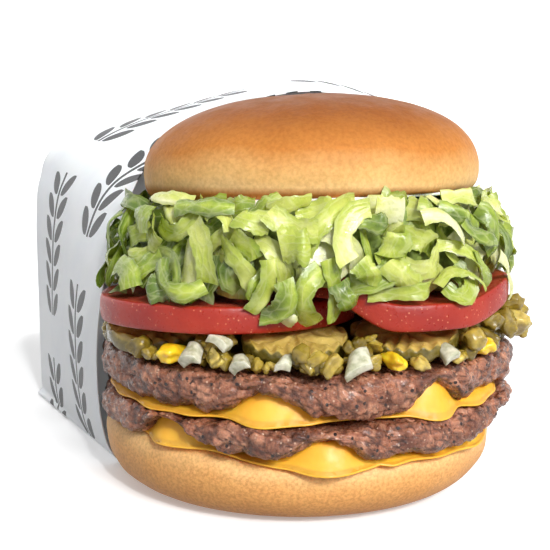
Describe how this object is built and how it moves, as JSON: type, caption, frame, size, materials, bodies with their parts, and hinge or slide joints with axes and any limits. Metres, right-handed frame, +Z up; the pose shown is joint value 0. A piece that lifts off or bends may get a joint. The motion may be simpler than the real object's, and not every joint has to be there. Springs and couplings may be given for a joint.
{
  "type": "double cheeseburger",
  "caption": "Tall double cheeseburger with tomato, shredded lettuce, pickles and relish, half tucked into a folded paper wrapper that is open at the front.",
  "frame": {"origin": "on the table, on the middle axis of the burger", "axes": "+Z up, -Y out of the open front of the wrapper, +X to the right seen from the front"},
  "size_m": [0.1614, 0.1398, 0.1175],
  "materials": {
    "bun": "baked golden crust, satin",
    "meat": "grilled ground meat, rough with glossy fat",
    "cheese": "melted, soft gloss",
    "tomato": "wet cut tomato",
    "lettuce": "fresh leaf, waxy",
    "pickle": "wet pickled cucumber",
    "relish": "wet chopped pickle",
    "onion": "wet, slightly clear",
    "mustard": "smooth sauce",
    "mayonnaise": "smooth sauce",
    "paper": "thin white sandwich paper with a plain black print"
  },
  "bodies": {
    "root": {"bun_crown": "bun", "bun_heel": "bun", "patty_upper": "meat", "patty_lower": "meat", "cheese_upper": "cheese", "cheese_lower": "cheese", "tomato_left": "tomato", "tomato_right": "tomato", "lettuce": "lettuce", "pickle_left": "pickle", "pickle_middle": "pickle", "pickle_right": "pickle", "relish": "relish", "onion_1": "onion", "onion_2": "onion", "onion_3": "onion", "onion_4": "onion", "onion_5": "onion", "onion_6": "onion", "mustard_left": "mustard", "mustard_middle": "mustard", "mustard_right": "mustard", "mayonnaise": "mayonnaise", "wrapper": "paper"}
  },
  "joints": []
}
